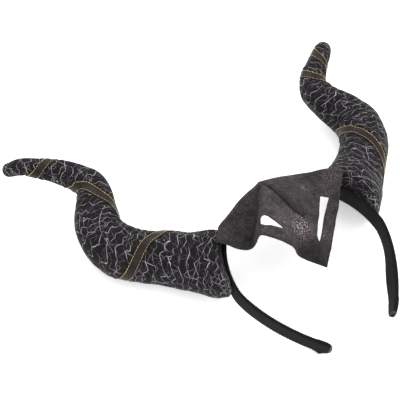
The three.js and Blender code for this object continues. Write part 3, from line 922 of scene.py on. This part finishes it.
def cut_edge():
    """The cloth's raw edge: dark, with a paler fuzz."""
    finish, tree, skin = new_finish("cut_edge")
    where = put(tree, "ShaderNodeTexCoord").outputs["Object"]
    fuzz = grain(tree, where, 0.0008)
    colour = mixed(tree, between(tree, fuzz, 0.4, 0.65), shade(20, 19, 20), shade(62, 58, 59))
    tree.links.new(colour, skin.inputs["Base Color"])
    skin.inputs["Roughness"].default_value = 0.95
    raised(tree, skin, fuzz, 0.0004)
    return finish


def cut_slot(cloth, worn_layers, outline):
    """Cuts an outline, seen from the front, out of the cloth's faces."""
    corners = np.array(outline)
    low, high = corners.min(0) - SLOT_MARGIN, corners.max(0) + SLOT_MARGIN
    x_layer, z_layer = worn_layers

    def middle(face):
        return (sum(v[x_layer] for v in face.verts) / len(face.verts),
                sum(v[z_layer] for v in face.verts) / len(face.verts))

    def near(face):
        x, z = middle(face)
        return low[0] < x < high[0] and low[1] < z < high[1]

    for start, end in zip(corners, np.roll(corners, -1, 0)):
        way = turned((end[0] - start[0], 0, end[1] - start[1]))
        depth = turned((0, 1, 0))
        faces = [f for f in cloth.faces if near(f)]
        geometry = list({e for f in faces for e in f.edges} | {v for f in faces for v in f.verts}) + faces
        spot = Vector(laid((start[0], 0, start[1])))
        across = Vector(np.cross(way, depth)).normalized()
        bmesh.ops.bisect_plane(cloth, geom=geometry, dist=1e-7, plane_co=spot, plane_no=across)

    def within(point):
        odd = False
        for (x1, z1), (x2, z2) in zip(corners, np.roll(corners, -1, 0)):
            if (z1 > point[1]) != (z2 > point[1]):
                odd ^= bool(point[0] < (x2 - x1) * (point[1] - z1) / (z2 - z1) + x1)
        return odd

    gone = [f for f in cloth.faces if near(f) and within(middle(f))]
    bmesh.ops.delete(cloth, geom=gone, context="FACES")


sheet_across, sheet_down = np.meshgrid(np.linspace(0, 1, FLAP_COLUMNS), np.linspace(0, 1, FLAP_ROWS))
sheet = flap_sheet(sheet_across, sheet_down)
sheet_front = np.cross(np.gradient(sheet, axis=1), np.gradient(sheet, axis=0))
sheet_front = unit(sheet_front) * np.where(sheet_front[..., 1:2] > 0, -1, 1)
sheet_fall = np.clip((sheet_down - FLAP_HEM_SHARE) / FLAP_FALL_START, 0, 1)
seam_gap, seam_share = beside(sheet, SEAM_LINE)
on_right = np.maximum(seam_gap, 0)
# the right panel laps over the left one at the seam, and stands off more lower down
lap = LAP_STEP + LAP_RISE * (1 - np.exp(-on_right / LAP_RISE_LENGTH)) * np.exp(-on_right / LAP_FADE)
lap = np.where(seam_gap > 0, lap, 0)
lap *= seam_share * np.clip((80 - sheet[..., 2]) / 40, 0.4, 1.2)
ridge_gap, ridge_share = beside(sheet, RIDGE_LINE)
# the fold is a ridge with a valley on its left, from below the band to near the lower edge
valley = VALLEY_DEPTH * np.exp(-((ridge_gap + VALLEY_PLACE) / VALLEY_SPREAD) ** 2)
ridge = RIDGE_HEIGHT * np.exp(-np.abs(ridge_gap) / RIDGE_SPREAD) - valley
ridge *= ridge_share * np.clip((66 - sheet[..., 2]) / 12, 0, 1) * np.clip((1 - sheet_down) / 0.15, 0, 1)
ripple = RIPPLE_HEIGHT * lumps(sheet, RIPPLE_SIZE, 51)
ripple += SMALL_RIPPLE_HEIGHT * lumps(sheet, SMALL_RIPPLE_SIZE, 52)
sheet += sheet_front * (sheet_fall * (lap + ridge + ripple))[..., None]

cloth_points = laid(sheet).reshape(-1, 3)
i, j = np.meshgrid(np.arange(FLAP_ROWS - 1), np.arange(FLAP_COLUMNS - 1), indexing="ij")
corner = i * FLAP_COLUMNS + j
cloth_faces = np.stack([corner, corner + FLAP_COLUMNS, corner + FLAP_COLUMNS + 1, corner + 1], -1)
flap = piece("slotted_flap", cloth_points, cloth_faces.reshape(-1, 4).tolist())
x_worn = sheet[..., 0].ravel()
z_worn = sheet[..., 2].ravel()
rubbed = np.zeros(len(x_worn))
for spot_x, spot_z, spread, strength in BRUSHED_PLACES:
    away = np.hypot(x_worn - spot_x, z_worn - spot_z) / spread
    rubbed = np.maximum(rubbed, strength * np.exp(-away ** 2))
seam_shadow = np.where(seam_gap > 0, np.exp(-on_right / 1.7), np.exp(np.minimum(seam_gap, 0) / 0.3))
# painted shade: a shadow along the seam, shade in the fold, on both panels, towards the tip and at the
# lower edge
along_seam = 0.95 * seam_share * seam_shadow
in_fold = ridge_share * np.exp(-((ridge_gap + 3.4) / 4.2) ** 2)
left_of_fold = 0.46 * np.clip(-ridge_gap / 4, 0, 1)
right_panel = (seam_gap > 0) * (0.28 + 0.35 * seam_share * np.exp(-on_right / 6))
near_tip = 0.68 * np.clip((16 - sheet[..., 2]) / 16, 0, 1)
# a darker patch near the right corner
right_corner = 0.72 * np.exp(-((sheet[..., 0] - 44) ** 2 + (sheet[..., 2] - 55) ** 2) / 200)
lower_edge = 0.7 * np.exp(-(1 - sheet_down) / 0.03)
shades = [along_seam, in_fold, left_of_fold, right_panel, near_tip, right_corner, lower_edge]
# the creased mark carries this painted shade to the suede
creased = (sheet_fall * np.max(shades, axis=0)).ravel()
for label, values in (("rubbed", rubbed), ("creased", creased), ("worn_x", x_worn), ("worn_z", z_worn)):
    mark(flap, label, values)
cloth = bmesh.new()
cloth.from_mesh(flap.data)
layers = [cloth.verts.layers.float["worn_x"], cloth.verts.layers.float["worn_z"]]
for outline in SLOT_OUTLINES:
    cut_slot(cloth, layers, outline)
cloth.to_mesh(flap.data)
cloth.free()
for label in ("worn_x", "worn_z"):
    flap.data.attributes.remove(flap.data.attributes[label])
flap.data.materials.append(suede())
flap.data.materials.append(cut_edge())
wall = flap.modifiers.new("cloth", "SOLIDIFY")
wall.thickness = FLAP_THICKNESS / 1000
wall.offset = 0
wall.material_offset_rim = 1
wall.use_rim = True
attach(flap, "root")
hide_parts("flap")

# Studio
# A plain pale floor of paper under soft light from three large panels, and a camera where the photograph
# was taken from. None of it belongs to the headband.
FLOOR_GLOW = 0.42
ROOM_LIGHT = 0.8

floor = piece("floor", [(-3, -3, 0), (3, -3, 0), (3, 3, 0), (-3, 3, 0)], [(0, 1, 2, 3)])
paper, _, paper_skin = new_finish("pale_paper")
paper_skin.inputs["Base Color"].default_value = (0.9, 0.9, 0.9, 1)
paper_skin.inputs["Roughness"].default_value = 0.9
paper_skin.inputs["Emission Color"].default_value = (1, 1, 1, 1)
paper_skin.inputs["Emission Strength"].default_value = FLOOR_GLOW
floor.data.materials.append(paper)

world = bpy.data.worlds.new("studio")
bpy.context.scene.world = world
world.use_nodes = True
world.node_tree.nodes["Background"].inputs["Color"].default_value = (1, 1, 1, 1)
world.node_tree.nodes["Background"].inputs["Strength"].default_value = ROOM_LIGHT
# where each panel stands, its size in metres and its power
for name, place, size, power in (
    ("key_panel", (0.6, -0.35, 1.05), 1.6, 12),
    ("front_panel", (-0.7, -0.6, 0.8), 0.9, 4),
    ("back_panel", (0.0, 1.0, 0.9), 1.0, 8),
):
    lamp = bpy.data.lights.new(name, "AREA")
    lamp.size = size
    lamp.energy = power
    panel = bpy.data.objects.new(name, lamp)
    panel.location = place
    panel.rotation_euler = (-Vector(place)).to_track_quat("-Z", "Y").to_euler()
    bpy.context.scene.collection.objects.link(panel)

# The camera as worn: its place and the ways to the right and down in the picture
CAMERA_PLACE = (-266.8, -555.2, -183.9)
CAMERA_RIGHT = (0.859, -0.095, -0.503)
CAMERA_DOWN = (-0.389, 0.519, -0.761)
FOCAL_PIXELS = 837
PICTURE_PIXELS = 400
camera = bpy.data.objects.new("camera", bpy.data.cameras.new("camera"))
right = Vector(turned(CAMERA_RIGHT)).normalized()
up = -Vector(turned(CAMERA_DOWN))
back = right.cross(up).normalized()
up = back.cross(right)
turn = Matrix((right, up, back)).transposed()
camera.matrix_world = Matrix.Translation(Vector(laid(CAMERA_PLACE))) @ turn.to_4x4()
camera.data.lens = FOCAL_PIXELS / PICTURE_PIXELS * camera.data.sensor_width
camera.data.clip_start = 0.01
bpy.context.scene.collection.objects.link(camera)
bpy.context.scene.camera = camera
bpy.context.scene.view_settings.view_transform = "Standard"
